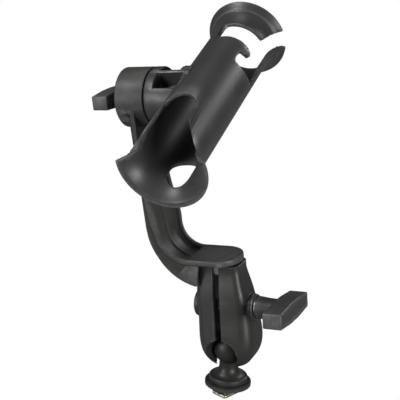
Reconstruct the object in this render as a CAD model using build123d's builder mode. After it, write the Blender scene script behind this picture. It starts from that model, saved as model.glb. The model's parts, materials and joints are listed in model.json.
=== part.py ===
from build123d import *
from math import asin, cos, radians, sin, tan
import os

os.makedirs("parts", exist_ok=True)

# A tube rod holder on a curved arm, clamped to a ball that bolts into a track.
# Millimetres. The origin is the centre of the base washer's underside, +Z is up.
# X runs along the hub and clamp bolts, from the tilt knob towards the clamp knob.
# Everything from the clamp up is drawn standing straight above the ball and is then
# leaned about the ball's centre. "Up" sizes are heights above the ball's centre.

# ---------------------------------------------------------------- driving sizes
# Base
BALL_D = 38.1
BALL_Z = 45.3
POST_D = 22.1
FLANGE_D = 44.4
FLANGE_TOP = 11.4
WASHER_D = 53.7
WASHER_T = 4.5
STUD_D = 9.5
STUD_TOP = 24.0
TRACK_LIP = 8.5
PLATE_L = 32.0
PLATE_W = 21.0
PLATE_T = 3.5
PLATE_YAW = 71.0
INSERT_D = 14.0
INSERT_L = 14.0

# Lean of the clamp and arm on the ball
LEAN = 8.3
LEAN_TOWARDS = 212.6

# Clamp
SOCKET_CLEARANCE = 0.3
JAW_GAP = 8.0
GAP_X = -1.5
CLAMP_BOLT_UP = 53.7
CLAMP_BOLT_D = 8.0
PIVOT_UP = 100.0
PIVOT_D = 12.0
PIVOT_L = 24.0
JAW_BOSS_D = 31.0
JAW_FACE_X = 36.5
HEAD_BOSS_X = 33.0
POST_SWING = 18.0
HEX_AF = 13.0
HEAD_T = 5.5
SPRING_D = 15.0
SPRING_WIRE = 1.7
SPRING_POCKET = 7.0
SPRING_PITCH = 5.0
DOWEL_D = 5.0
DOWEL_X = -16.0
DOWEL_SPACING = 16.0
DOWEL_IN_JAW = 10.0
DOWEL_IN_PAD = 4.0
BOLT_SWING_ROOM = 2.2
THRUST_RING_D = 29.4
THRUST_RING_T = 2.4
STEEL_RING_D = 26.0
STEEL_RING_T = 2.0
CLAMP_HANDLE_L = 86.0
CLAMP_HANDLE_X = 62.0
CLAMP_HANDLE_T = 22.0
CLAMP_HANDLE_END = 17.5
CLAMP_HANDLE_MID = 23.0
CLAMP_HANDLE_TURN = -5.9

# Arm
PAD_TOP = 115.5
PAD_T = 7.0
PAD_HALF = 26.2
PAD_END_X = 0.3
ARM_BACK_TOP_X = -78.0
ARM_BACK_X = -74.0
BEND_R = 65.0
BEND_UP = 147.0
ARM_END_X = -16.4
ARM_END_LOW_X = -29.2
ARM_END_DROP = 60.0
JAW_NOTCH_X = -36.0
JAW_NOTCH_W = 43.0
FACE_TOP_X = -70.0
FACE_MID_X = -65.6
FACE_MID_UP = 181.0
INNER_BEND_R = 29.0
INNER_BEND_X = -29.5
SHOULDER_HALF = 31.0
SHOULDER_UP = 152.0
CHANNEL_DEPTH = 5.5
RIB_DEPTH = 3.6
RIM_T = 4.5
RIB_T = 4.0

# Hub
HUB_UP = 294.9
HUB_D = 66.0
HUB_LEFT_X = -92.6
HUB_SPLIT_X = -57.1
HUB_SPLIT_GAP = 1.7
HUB_BOLT_D = 8.0
HUB_HEAD_X = -41.0
HUB_BAND_T = 11.0
HUB_CORE_D = 27.0
TOOTH_COUNT = 24
TOOTH_H = 0.6
TOOTH_RING_R = 21.5
TOOTH_L = 13.0
TOOTH_W = 1.4
WINDOW_W = 13.0
WINDOW_SPANS = ((-38, 56), (25, 36))
HUB_RING_D = 24.0
HUB_RING_T = 2.0
HUB_STEM_T = 7.0
HUB_HANDLE_L = 64.0
HUB_HANDLE_T = 19.0
HUB_HANDLE_END = 15.5
HUB_HANDLE_MID = 19.0

# Tube
TUBE_X = 4.8
TUBE_TILT = 19.4
TUBE_D = 69.2
TUBE_WALL = 4.1
SCOOP_S = -129.2
SCOOP_R = 50.0
SCOOP_FLOOR = 8.0
SCOOP_APEX_S = -47.5
SCOOP_HALF = 19.3
DRAIN_S = -99.0
DRAIN_L = 41.0
DRAIN_W = 25.0
COLLAR_S = 126.0
COLLAR_R = 46.9
FLARE_START = 98.0

# Running clearances
RUN = 0.1
LOOSE = 0.3

# ---------------------------------------------------------------- derived places
CLAMP_Z = BALL_Z + CLAMP_BOLT_UP
PIVOT_Z = BALL_Z + PIVOT_UP
PAD_Z = BALL_Z + PAD_TOP
PAD_UNDER_Z = PAD_Z - PAD_T
HUB_Z = BALL_Z + HUB_UP
HUB_R = HUB_D / 2
BEND_Z = BALL_Z + BEND_UP
ARM_UNDER_Z = BEND_Z - BEND_R
BEND_X = ARM_BACK_X + BEND_R
ARM_HUB_X = HUB_SPLIT_X - HUB_SPLIT_GAP / 2
TUBE_HUB_X = HUB_SPLIT_X + HUB_SPLIT_GAP / 2
TUBE_R = TUBE_D / 2
TILT = radians(TUBE_TILT)
TOWARDS = radians(LEAN_TOWARDS)
LEAN_AXIS = Axis((0, 0, BALL_Z), (-sin(TOWARDS), cos(TOWARDS), 0))

TUBE_ORIGIN = Vector(TUBE_X, 0, HUB_Z)
TUBE_ALONG = Vector(0, cos(TILT), sin(TILT))
TUBE_UP = Vector(0, -sin(TILT), cos(TILT))
TUBE_AXIS = Axis(TUBE_ORIGIN, TUBE_ALONG)


def tube_plane(angle):
    """The plane through the tube's axis whose local Y points away from the axis.

    The angle is 0 at the top of the tube and grows towards +X.
    """
    turn = radians(angle)
    outward = TUBE_UP * cos(turn) + Vector(1, 0, 0) * sin(turn)
    return Plane(origin=TUBE_ORIGIN, x_dir=TUBE_ALONG, z_dir=TUBE_ALONG.cross(outward))


def across(x, z):
    """A plane square to X at the given place, with local X along Y and local Y up."""
    return Plane(origin=(x, 0, z), x_dir=(0, 1, 0), z_dir=(1, 0, 0))


# ---------------------------------------------------------------- base
plate_top = -TRACK_LIP
with BuildPart() as t_bolt_plate:
    with BuildSketch(Plane.XY.offset(plate_top - PLATE_T)):
        Rectangle(PLATE_L, PLATE_W, rotation=PLATE_YAW)
        Circle(STUD_D / 2, mode=Mode.SUBTRACT)
    extrude(amount=PLATE_T)
    chamfer(t_bolt_plate.faces().sort_by(Axis.Z)[-1].outer_wire().edges(), length=0.6)
t_bolt_plate.part.label = "t_bolt_plate"
export_step(t_bolt_plate.part, "parts/t_bolt_plate.step")

with BuildPart() as t_bolt_stud:
    with BuildSketch(Plane.XY.offset(plate_top - PLATE_T)):
        Circle(STUD_D / 2)
    extrude(amount=STUD_TOP - plate_top + PLATE_T)
    chamfer(t_bolt_stud.edges().sort_by(Axis.Z)[-1], length=1.0)
t_bolt_stud.part.label = "t_bolt_stud"
export_step(t_bolt_stud.part, "parts/t_bolt_stud.step")

with BuildPart() as base_washer:
    with BuildSketch():
        Circle(WASHER_D / 2)
        Circle(STUD_D / 2 + LOOSE, mode=Mode.SUBTRACT)
    extrude(amount=WASHER_T)
    fillet(base_washer.faces().sort_by(Axis.Z)[-1].outer_wire().edges(), radius=1.0)
base_washer.part.label = "base_washer"
export_step(base_washer.part, "parts/base_washer.step")

post_r = POST_D / 2
flange_r = FLANGE_D / 2
with BuildPart() as ball_stud:
    with BuildSketch(Plane.XZ):
        with BuildLine():
            Polyline((0, BALL_Z), (0, WASHER_T), (flange_r - 1.2, WASHER_T), (flange_r, WASHER_T + 1.2))
            Line((flange_r, WASHER_T + 1.2), (flange_r, FLANGE_TOP - 0.8))
            Line((flange_r, FLANGE_TOP - 0.8), (flange_r - 0.8, FLANGE_TOP))
            Spline(
                (flange_r - 0.8, FLANGE_TOP),
                (post_r + 2.4, FLANGE_TOP + 4.6),
                (post_r, FLANGE_TOP + 12.0),
                tangents=((-1, 0.12), (0, 1)),
            )
            Polyline((post_r, FLANGE_TOP + 12.0), (post_r, BALL_Z), (0, BALL_Z))
        make_face()
    revolve(axis=Axis.Z)
    with Locations((0, 0, BALL_Z)):
        Sphere(BALL_D / 2)
    with Locations((0, 0, WASHER_T)):
        Cylinder(
            INSERT_D / 2,
            INSERT_L,
            align=(Align.CENTER, Align.CENTER, Align.MIN),
            mode=Mode.SUBTRACT,
        )
        Cylinder(
            STUD_D / 2 + LOOSE,
            STUD_TOP + 2.0 - WASHER_T,
            align=(Align.CENTER, Align.CENTER, Align.MIN),
            mode=Mode.SUBTRACT,
        )
ball_stud.part.label = "ball_stud"
export_step(ball_stud.part, "parts/ball_stud.step")

with BuildPart() as ball_stud_insert:
    with BuildSketch(Plane.XY.offset(WASHER_T)):
        Circle(INSERT_D / 2)
        Circle(STUD_D / 2 + RUN / 2, mode=Mode.SUBTRACT)
    extrude(amount=INSERT_L)
ball_stud_insert.part.label = "ball_stud_insert"
export_step(ball_stud_insert.part, "parts/ball_stud_insert.step")

# ---------------------------------------------------------------- clamp jaws
# Height above the ball, reach towards -X and +X, half width along Y, corner radius
JAW_SECTIONS = (
    (-17.5, 14.5, 17.5, 13.0, 9.0),
    (-10.0, 22.0, 28.0, 21.0, 13.0),
    (2.0, 27.3, 34.3, 26.0, 15.0),
    (20.0, 29.3, 36.6, 26.5, 15.0),
    (CLAMP_BOLT_UP, 28.3, 34.0, 22.5, 12.0),
    (80.0, 27.0, 29.5, 19.5, 9.0),
    (PAD_TOP - PAD_T, 26.0, 27.2, 17.0, 8.0),
)
fixed_face_x = GAP_X - JAW_GAP / 2
moving_face_x = GAP_X + JAW_GAP / 2
socket_r = BALL_D / 2 + SOCKET_CLEARANCE
# The socket's front and back openings, which widen outwards
WINDOW_REACH = 32.0
WINDOW_WAIST = 8.0
WINDOW_INNER_R = 0.84 * BALL_D / 2
WINDOW_OUTER_R = 1.09 * BALL_D / 2

with BuildPart() as jaw_pair:
    for up, left, right, half_y, corner in JAW_SECTIONS:
        with BuildSketch(Plane.XY.offset(BALL_Z + up)):
            with Locations(((right - left) / 2, 0)):
                RectangleRounded(left + right, 2 * half_y, corner)
    loft()
    with Locations((0, 0, BALL_Z)):
        Sphere(socket_r, mode=Mode.SUBTRACT)
    # Round openings at the front and the back of the socket
    with BuildSketch(Plane.YZ):
        with Locations((0, BALL_Z)):
            Polygon(
                (-WINDOW_REACH, 0),
                (-WINDOW_REACH, WINDOW_OUTER_R),
                (-WINDOW_WAIST, WINDOW_INNER_R),
                (WINDOW_WAIST, WINDOW_INNER_R),
                (WINDOW_REACH, WINDOW_OUTER_R),
                (WINDOW_REACH, 0),
                align=None,
            )
    revolve(axis=Axis((0, 0, BALL_Z), (0, 1, 0)), mode=Mode.SUBTRACT)
    # Room below the socket for the post to swing
    mouth = asin(POST_D / BALL_D) + radians(POST_SWING)
    with BuildSketch(Plane.XZ):
        with Locations((0, BALL_Z)):
            Polygon((0, 0), (40 * tan(mouth), -40), (0, -40), align=None)
    revolve(axis=Axis.Z, mode=Mode.SUBTRACT)
    # Spring pocket astride the gap
    with BuildSketch(across(fixed_face_x - SPRING_POCKET, CLAMP_Z)):
        Circle(SPRING_D / 2 + 1.0)
    extrude(amount=JAW_GAP + 2 * SPRING_POCKET, mode=Mode.SUBTRACT)

dowel_places = [(DOWEL_X, -DOWEL_SPACING / 2), (DOWEL_X, DOWEL_SPACING / 2)]
with BuildPart() as fixed_jaw:
    add(jaw_pair.part)
    split(bisect_by=Plane.YZ.offset(fixed_face_x), keep=Keep.BOTTOM)
    with BuildSketch(across(-HEAD_BOSS_X, CLAMP_Z)):
        Circle(JAW_BOSS_D / 2)
    extrude(amount=HEAD_BOSS_X + fixed_face_x - SPRING_POCKET)
    with BuildSketch(across(-HEAD_BOSS_X, CLAMP_Z)):
        RegularPolygon(HEX_AF / 2 + RUN, 6, major_radius=False)
    extrude(amount=HEAD_T, mode=Mode.SUBTRACT)
    with BuildSketch(across(-HEAD_BOSS_X, CLAMP_Z)):
        Circle(CLAMP_BOLT_D / 2 + RUN)
    extrude(amount=HEAD_BOSS_X, mode=Mode.SUBTRACT)
    with BuildSketch(Plane.XZ.offset(-PIVOT_L / 2)):
        with Locations((GAP_X, PIVOT_Z)):
            Circle(PIVOT_D / 2)
    extrude(amount=PIVOT_L, mode=Mode.SUBTRACT)
    with BuildSketch(Plane.XY.offset(PAD_UNDER_Z - DOWEL_IN_JAW)):
        with Locations(*dowel_places):
            Circle(DOWEL_D / 2)
    extrude(amount=DOWEL_IN_JAW, mode=Mode.SUBTRACT)
fixed_jaw.part.label = "fixed_jaw"
export_step(fixed_jaw.part.rotate(LEAN_AXIS, LEAN), "parts/fixed_jaw.step")

with BuildPart() as moving_jaw:
    add(jaw_pair.part)
    split(bisect_by=Plane.YZ.offset(moving_face_x), keep=Keep.TOP)
    with BuildSketch(across(moving_face_x + SPRING_POCKET, CLAMP_Z)):
        Circle(JAW_BOSS_D / 2)
    extrude(amount=JAW_FACE_X - moving_face_x - SPRING_POCKET)
    with BuildSketch(across(0, CLAMP_Z)):
        Circle(CLAMP_BOLT_D / 2 + BOLT_SWING_ROOM)
    extrude(amount=JAW_FACE_X, mode=Mode.SUBTRACT)
    with BuildSketch(Plane.XZ.offset(-PIVOT_L / 2 - 1)):
        with Locations((GAP_X, PIVOT_Z)):
            Circle(PIVOT_D / 2 + RUN)
    extrude(amount=PIVOT_L + 2, mode=Mode.SUBTRACT)
    # Flat seat for the thrust ring
    with BuildSketch(across(JAW_FACE_X, CLAMP_Z)):
        Circle(JAW_BOSS_D / 2)
    extrude(amount=6, mode=Mode.SUBTRACT)
    # The top stays clear of the pad when the jaw swings open
    with BuildSketch(Plane.XY.offset(PAD_UNDER_Z - 2.0)):
        Rectangle(120, 80)
    extrude(amount=20, mode=Mode.SUBTRACT)
moving_jaw.part.label = "moving_jaw"
export_step(moving_jaw.part.rotate(LEAN_AXIS, LEAN), "parts/moving_jaw.step")

with BuildPart() as jaw_pivot_pin:
    with BuildSketch(Plane.XZ.offset(-PIVOT_L / 2)):
        with Locations((GAP_X, PIVOT_Z)):
            Circle(PIVOT_D / 2)
    extrude(amount=PIVOT_L)
    chamfer(jaw_pivot_pin.edges().filter_by(GeomType.CIRCLE), length=0.6)
jaw_pivot_pin.part.label = "jaw_pivot_pin"
export_step(jaw_pivot_pin.part.rotate(LEAN_AXIS, LEAN), "parts/jaw_pivot_pin.step")

with BuildPart() as jaw_dowels:
    with BuildSketch(Plane.XY.offset(PAD_UNDER_Z - DOWEL_IN_JAW)):
        with Locations(*dowel_places):
            Circle(DOWEL_D / 2)
    extrude(amount=DOWEL_IN_JAW + DOWEL_IN_PAD)
jaw_dowels.part.label = "jaw_dowels"
export_step(jaw_dowels.part.rotate(LEAN_AXIS, LEAN), "parts/jaw_dowels.step")


# ---------------------------------------------------------------- arm
def arm_face(depth):
    """The arm's inner face from the hub down and round onto the pad, sunk by a depth."""
    Spline(
        (FACE_TOP_X - depth, HUB_Z),
        (FACE_MID_X - depth, BALL_Z + FACE_MID_UP),
        (INNER_BEND_X - INNER_BEND_R - depth, PAD_Z + INNER_BEND_R),
        tangents=((0.03, -1), (0.05, -1)),
    )
    CenterArc((INNER_BEND_X, PAD_Z + INNER_BEND_R), INNER_BEND_R + depth, 180, 90)


def arm_front(inset):
    """The arm's outline as seen along X, drawn in from its edges by an inset."""
    heights = (ARM_UNDER_Z - 5, PAD_Z, BALL_Z + SHOULDER_UP, HUB_Z - 3)
    widths = (PAD_HALF, PAD_HALF, SHOULDER_HALF, HUB_R - 1)
    right = [(width - inset, height) for width, height in zip(widths, heights)]
    left = [(-y, z) for y, z in reversed(right)]
    Polygon(*right, *left, align=None)


with BuildPart() as arm_channel:
    with BuildSketch(Plane.XZ):
        with BuildLine():
            arm_face(-8)
            Line((INNER_BEND_X, PAD_Z + 8), (INNER_BEND_X, PAD_Z - CHANNEL_DEPTH))
            arm_face(CHANNEL_DEPTH)
            Line((FACE_TOP_X - CHANNEL_DEPTH, HUB_Z), (FACE_TOP_X + 8, HUB_Z))
        make_face()
    extrude(amount=HUB_R, both=True)
    with BuildSketch(Plane.YZ):
        arm_front(RIM_T)
    extrude(amount=120, both=True, mode=Mode.INTERSECT)
    with BuildSketch(Plane.XZ):
        with BuildLine():
            arm_face(RIB_DEPTH)
            Line((INNER_BEND_X, PAD_Z - RIB_DEPTH), (INNER_BEND_X, PAD_Z - CHANNEL_DEPTH - 1))
            arm_face(CHANNEL_DEPTH + 1)
            Line((FACE_TOP_X - CHANNEL_DEPTH - 1, HUB_Z), (FACE_TOP_X - RIB_DEPTH, HUB_Z))
        make_face()
    extrude(amount=RIB_T / 2, both=True, mode=Mode.SUBTRACT)

with BuildPart() as arm_hub:
    with BuildSketch(across(HUB_LEFT_X, HUB_Z)):
        Circle(HUB_R)
    extrude(amount=ARM_HUB_X - HUB_LEFT_X)
    fillet(arm_hub.faces().sort_by(Axis.X)[0].edges(), radius=2.0)
    with BuildSketch(across(ARM_HUB_X - 1, HUB_Z)):
        with PolarLocations(TOOTH_RING_R, TOOTH_COUNT):
            Rectangle(TOOTH_L, TOOTH_W)
    extrude(amount=1 + TOOTH_H)
    with BuildSketch(across(ARM_HUB_X - SPRING_POCKET, HUB_Z)):
        Circle(SPRING_D / 2 + 1.0)
    extrude(amount=SPRING_POCKET + 2, mode=Mode.SUBTRACT)

with BuildPart() as arm:
    with BuildSketch(Plane.XZ):
        with BuildLine():
            Line((ARM_BACK_TOP_X, HUB_Z), (ARM_BACK_X, BEND_Z))
            CenterArc((BEND_X, BEND_Z), BEND_R, 180, 90)
            Polyline(
                (BEND_X, ARM_UNDER_Z),
                (BEND_X, PAD_UNDER_Z),
                (PAD_END_X + PAD_HALF, PAD_UNDER_Z),
                (PAD_END_X + PAD_HALF, PAD_Z),
                (INNER_BEND_X, PAD_Z),
            )
            arm_face(0)
            Line((FACE_TOP_X, HUB_Z), (ARM_BACK_TOP_X, HUB_Z))
        make_face()
    extrude(amount=HUB_R, both=True)
    with BuildSketch(Plane.YZ):
        arm_front(0)
    extrude(amount=120, both=True, mode=Mode.INTERSECT)
    with BuildSketch(Plane.XY.offset(ARM_UNDER_Z - 5)):
        Circle(PAD_HALF)
        with Locations((-60, 0)):
            Rectangle(120, 2 * HUB_R)
    extrude(amount=HUB_Z, mode=Mode.INTERSECT)
    # Square off the end below the pad, and make room for the fixed jaw's head
    with BuildSketch(Plane.XZ):
        Polygon(
            (ARM_END_X, PAD_UNDER_Z),
            (ARM_END_LOW_X, PAD_UNDER_Z - ARM_END_DROP),
            (HUB_D, PAD_UNDER_Z - ARM_END_DROP),
            (HUB_D, PAD_UNDER_Z),
            align=None,
        )
    extrude(amount=HUB_D, both=True, mode=Mode.SUBTRACT)
    with Locations((JAW_NOTCH_X, 0, PAD_UNDER_Z)):
        Box(
            -JAW_NOTCH_X,
            JAW_NOTCH_W,
            ARM_END_DROP,
            align=(Align.MIN, Align.CENTER, Align.MAX),
            mode=Mode.SUBTRACT,
        )
    add(arm_channel.part, mode=Mode.SUBTRACT)
    add(arm_hub.part)
    with BuildSketch(across(HUB_LEFT_X, HUB_Z)):
        Circle(HUB_BOLT_D / 2 + RUN)
    extrude(amount=ARM_HUB_X - HUB_LEFT_X, mode=Mode.SUBTRACT)
    with BuildSketch(Plane.XY.offset(PAD_UNDER_Z)):
        with Locations(*dowel_places):
            Circle(DOWEL_D / 2)
    extrude(amount=DOWEL_IN_PAD, mode=Mode.SUBTRACT)
arm.part.label = "arm"
export_step(arm.part.rotate(LEAN_AXIS, LEAN), "parts/arm.step")


# ---------------------------------------------------------------- clamp hardware
with BuildPart() as clamp_bolt:
    with BuildSketch(across(-HEAD_BOSS_X, CLAMP_Z)):
        RegularPolygon(HEX_AF / 2, 6, major_radius=False)
    extrude(amount=HEAD_T)
    with BuildSketch(across(-HEAD_BOSS_X + HEAD_T, CLAMP_Z)):
        Circle(CLAMP_BOLT_D / 2)
    extrude(amount=HEAD_BOSS_X - HEAD_T + CLAMP_HANDLE_X + 12)
    chamfer(clamp_bolt.edges().filter_by(GeomType.CIRCLE).sort_by(Axis.X)[-1], length=0.8)
clamp_bolt.part.label = "clamp_bolt"
export_step(clamp_bolt.part.rotate(LEAN_AXIS, LEAN), "parts/clamp_bolt.step")


def coil_path(x, z, reach):
    """Centre line of a coil spring about a bolt along X, centred on x."""
    radius = (SPRING_D - SPRING_WIRE) / 2
    turns = round(reach / SPRING_PITCH)
    start = (x - reach / 2, 0, z)
    return Helix(reach / turns, reach, radius, center=start, direction=(1, 0, 0))


clamp_spring_path = coil_path(GAP_X, CLAMP_Z, JAW_GAP + 2 * SPRING_POCKET - SPRING_WIRE - 0.6)
with BuildPart() as clamp_spring:
    with BuildSketch(Plane(origin=clamp_spring_path @ 0, z_dir=clamp_spring_path % 0)):
        Circle(SPRING_WIRE / 2)
    sweep(path=clamp_spring_path, is_frenet=True)
clamp_spring.part.label = "clamp_spring"
export_step(clamp_spring.part.rotate(LEAN_AXIS, LEAN), "parts/clamp_spring.step")

steel_ring_x = JAW_FACE_X + THRUST_RING_T
clamp_stem_x = steel_ring_x + STEEL_RING_T
with BuildPart() as clamp_thrust_ring:
    with BuildSketch(across(JAW_FACE_X, CLAMP_Z)):
        Circle(THRUST_RING_D / 2)
        Circle(CLAMP_BOLT_D / 2 + RUN, mode=Mode.SUBTRACT)
    extrude(amount=THRUST_RING_T)
    fillet(clamp_thrust_ring.faces().sort_by(Axis.X)[-1].outer_wire().edges(), radius=0.6)
clamp_thrust_ring.part.label = "clamp_thrust_ring"
export_step(clamp_thrust_ring.part.rotate(LEAN_AXIS, LEAN), "parts/clamp_thrust_ring.step")

with BuildPart() as clamp_steel_ring:
    with BuildSketch(across(steel_ring_x, CLAMP_Z)):
        Circle(STEEL_RING_D / 2)
        Circle(CLAMP_BOLT_D / 2 + RUN, mode=Mode.SUBTRACT)
    extrude(amount=STEEL_RING_T)
clamp_steel_ring.part.label = "clamp_steel_ring"
export_step(clamp_steel_ring.part.rotate(LEAN_AXIS, LEAN), "parts/clamp_steel_ring.step")


def handle_points(length, end, middle):
    """Outline of a T handle seen along its bolt: deep in the middle, narrower at the ends."""
    half = length / 2
    flat = middle / 2
    right = [(half, -end / 2), (half, end / 2), (flat, middle / 2)]
    left = [(-flat, middle / 2), (-half, end / 2), (-half, -end / 2)]
    return right + left + [(-flat, -middle / 2), (flat, -middle / 2)]


with BuildPart() as clamp_knob:
    with BuildSketch(across(clamp_stem_x, CLAMP_Z)):
        Circle(STEEL_RING_D / 2)
    with BuildSketch(across(CLAMP_HANDLE_X, CLAMP_Z)):
        Circle(CLAMP_HANDLE_MID / 2)
    loft()
    with BuildSketch(across(CLAMP_HANDLE_X, CLAMP_Z).rotated((0, 0, CLAMP_HANDLE_TURN))):
        Polygon(*handle_points(CLAMP_HANDLE_L, CLAMP_HANDLE_END, CLAMP_HANDLE_MID), align=None)
    extrude(amount=CLAMP_HANDLE_T)
    chamfer(clamp_knob.faces().sort_by(Axis.X)[-1].outer_wire().edges(), length=1.2)
    with BuildSketch(across(clamp_stem_x, CLAMP_Z)):
        Circle(INSERT_D / 2)
    extrude(amount=INSERT_L, mode=Mode.SUBTRACT)
    with BuildSketch(across(clamp_stem_x, CLAMP_Z)):
        Circle(CLAMP_BOLT_D / 2 + LOOSE)
    extrude(amount=CLAMP_HANDLE_X + 15 - clamp_stem_x, mode=Mode.SUBTRACT)
clamp_knob.part.label = "clamp_knob"
export_step(clamp_knob.part.rotate(LEAN_AXIS, LEAN), "parts/clamp_knob.step")

with BuildPart() as clamp_knob_insert:
    with BuildSketch(across(clamp_stem_x, CLAMP_Z)):
        Circle(INSERT_D / 2)
        Circle(CLAMP_BOLT_D / 2 + RUN / 2, mode=Mode.SUBTRACT)
    extrude(amount=INSERT_L)
clamp_knob_insert.part.label = "clamp_knob_insert"
export_step(clamp_knob_insert.part.rotate(LEAN_AXIS, LEAN), "parts/clamp_knob_insert.step")

# ---------------------------------------------------------------- hub hardware
hub_handle_x = HUB_LEFT_X - HUB_RING_T - HUB_STEM_T
hub_bolt_end_x = hub_handle_x - HUB_HANDLE_T + 5
with BuildPart() as hub_bolt:
    with BuildSketch(across(HUB_HEAD_X, HUB_Z)):
        RegularPolygon(HEX_AF / 2, 6, major_radius=False)
    extrude(amount=HEAD_T)
    with BuildSketch(across(hub_bolt_end_x, HUB_Z)):
        Circle(HUB_BOLT_D / 2)
    extrude(amount=HUB_HEAD_X - hub_bolt_end_x)
    chamfer(hub_bolt.edges().filter_by(GeomType.CIRCLE).sort_by(Axis.X)[0], length=0.8)
hub_bolt.part.label = "hub_bolt"
export_step(hub_bolt.part.rotate(LEAN_AXIS, LEAN), "parts/hub_bolt.step")

hub_spring_reach = HUB_SPLIT_GAP + 2 * SPRING_POCKET - SPRING_WIRE - 0.6
hub_spring_path = coil_path(HUB_SPLIT_X, HUB_Z, hub_spring_reach)
with BuildPart() as hub_spring:
    with BuildSketch(Plane(origin=hub_spring_path @ 0, z_dir=hub_spring_path % 0)):
        Circle(SPRING_WIRE / 2)
    sweep(path=hub_spring_path, is_frenet=True)
hub_spring.part.label = "hub_spring"
export_step(hub_spring.part.rotate(LEAN_AXIS, LEAN), "parts/hub_spring.step")

with BuildPart() as hub_steel_ring:
    with BuildSketch(across(HUB_LEFT_X - HUB_RING_T, HUB_Z)):
        Circle(HUB_RING_D / 2)
        Circle(HUB_BOLT_D / 2 + RUN, mode=Mode.SUBTRACT)
    extrude(amount=HUB_RING_T)
hub_steel_ring.part.label = "hub_steel_ring"
export_step(hub_steel_ring.part.rotate(LEAN_AXIS, LEAN), "parts/hub_steel_ring.step")

with BuildPart() as hub_knob:
    with BuildSketch(across(hub_handle_x - HUB_HANDLE_T, HUB_Z)):
        Polygon(*handle_points(HUB_HANDLE_L, HUB_HANDLE_END, HUB_HANDLE_MID), align=None)
    extrude(amount=HUB_HANDLE_T)
    chamfer(hub_knob.faces().sort_by(Axis.X)[0].outer_wire().edges(), length=1.0)
    with BuildSketch(across(hub_handle_x, HUB_Z)):
        Circle(HUB_HANDLE_MID / 2)
    extrude(amount=HUB_STEM_T)
    with BuildSketch(across(hub_handle_x + HUB_STEM_T - INSERT_L, HUB_Z)):
        Circle(INSERT_D / 2)
    extrude(amount=INSERT_L, mode=Mode.SUBTRACT)
    with BuildSketch(across(hub_bolt_end_x - 3, HUB_Z)):
        Circle(HUB_BOLT_D / 2 + LOOSE)
    extrude(amount=20, mode=Mode.SUBTRACT)
hub_knob.part.label = "hub_knob"
export_step(hub_knob.part.rotate(LEAN_AXIS, LEAN), "parts/hub_knob.step")

with BuildPart() as hub_knob_insert:
    with BuildSketch(across(hub_handle_x + HUB_STEM_T - INSERT_L, HUB_Z)):
        Circle(INSERT_D / 2)
        Circle(HUB_BOLT_D / 2 + RUN / 2, mode=Mode.SUBTRACT)
    extrude(amount=INSERT_L)
hub_knob_insert.part.label = "hub_knob_insert"
export_step(hub_knob_insert.part.rotate(LEAN_AXIS, LEAN), "parts/hub_knob_insert.step")

# ---------------------------------------------------------------- tube
# Stations along the tube are measured from the hub's axis: the scoop's end is
# negative and the collar's end is positive.


def flare_radius(rim_s, rim_r):
    """Radius of the arc that leaves the tube squarely and reaches the flare's rim."""
    run = abs(rim_s) - FLARE_START
    rise = rim_r - TUBE_R
    return (run**2 + rise**2) / (2 * rise)


scoop_flare = flare_radius(SCOOP_S, SCOOP_R)
collar_flare = flare_radius(COLLAR_S, COLLAR_R)
scoop_mid = FLARE_START + (abs(SCOOP_S) - FLARE_START) * 0.55
collar_mid = FLARE_START + (COLLAR_S - FLARE_START) * 0.55


def flare_height(station, flare, wall):
    """Distance from the tube's axis to the flare's skin at a station past its start."""
    run = station - FLARE_START
    return TUBE_R + flare - ((flare + wall) ** 2 - run**2) ** 0.5


def tube_skin(wall):
    """One skin of the tube from the scoop's rim to the collar's rim."""
    radius = TUBE_R - wall
    ThreePointArc(
        (SCOOP_S, flare_height(-SCOOP_S, scoop_flare, wall)),
        (-scoop_mid, flare_height(scoop_mid, scoop_flare, wall)),
        (-FLARE_START, radius),
    )
    Line((-FLARE_START, radius), (FLARE_START, radius))
    ThreePointArc(
        (FLARE_START, radius),
        (collar_mid, flare_height(collar_mid, collar_flare, wall)),
        (COLLAR_S, flare_height(COLLAR_S, collar_flare, wall)),
    )


# Station and half width of the scoop's open top, from beyond its rim inwards
SCOOP_EDGE = ((-140.0, 54.0), (-129.0, 47.0), (-116.0, 36.5), (-101.0, 28.7), (-84.0, 20.8))
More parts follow.
